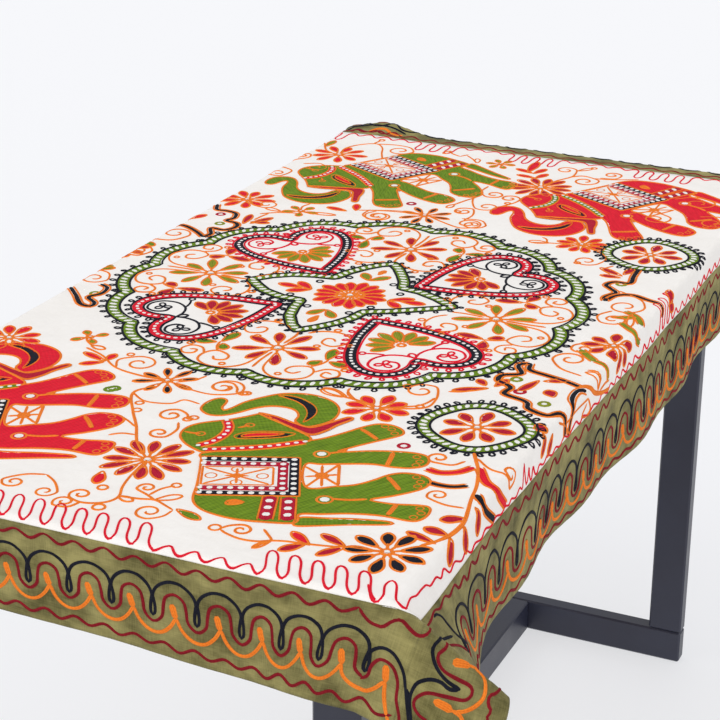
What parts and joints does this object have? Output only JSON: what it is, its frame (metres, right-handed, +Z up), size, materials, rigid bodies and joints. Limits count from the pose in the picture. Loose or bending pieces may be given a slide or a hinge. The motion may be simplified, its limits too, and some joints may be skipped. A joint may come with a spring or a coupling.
{
  "type": "embroidered wall hanging draped over a small table",
  "caption": "Oblong embroidered cloth with a contrasting sewn border, draped over a rectangular table on a slim tube base with a stretcher on the floor.",
  "frame": {"origin": "on the floor under the middle of the table, at the middle of the floor stretcher's underside", "axes": "+Y along the table, away from the end that faces the viewer, +X to the right, +Z up"},
  "size_m": [0.9358, 1.4388, 0.7643],
  "materials": {
    "board": "plain board, satin",
    "steel": "dark powder coat, satin",
    "ground_cloth": "off-white cotton with coloured chain-stitch embroidery",
    "border_cloth": "olive cotton with coloured chain-stitch embroidery"
  },
  "bodies": {
    "root": {"table_top": "board", "foot_bar_near": "steel", "foot_bar_far": "steel", "top_bar_near": "steel", "top_bar_far": "steel", "upright_near_left": "steel", "upright_near_right": "steel", "upright_far_left": "steel", "upright_far_right": "steel", "floor_stretcher": "steel", "ground_panel": "ground_cloth", "border_near": "border_cloth", "border_far": "border_cloth", "border_left": "border_cloth", "border_right": "border_cloth"}
  },
  "joints": []
}
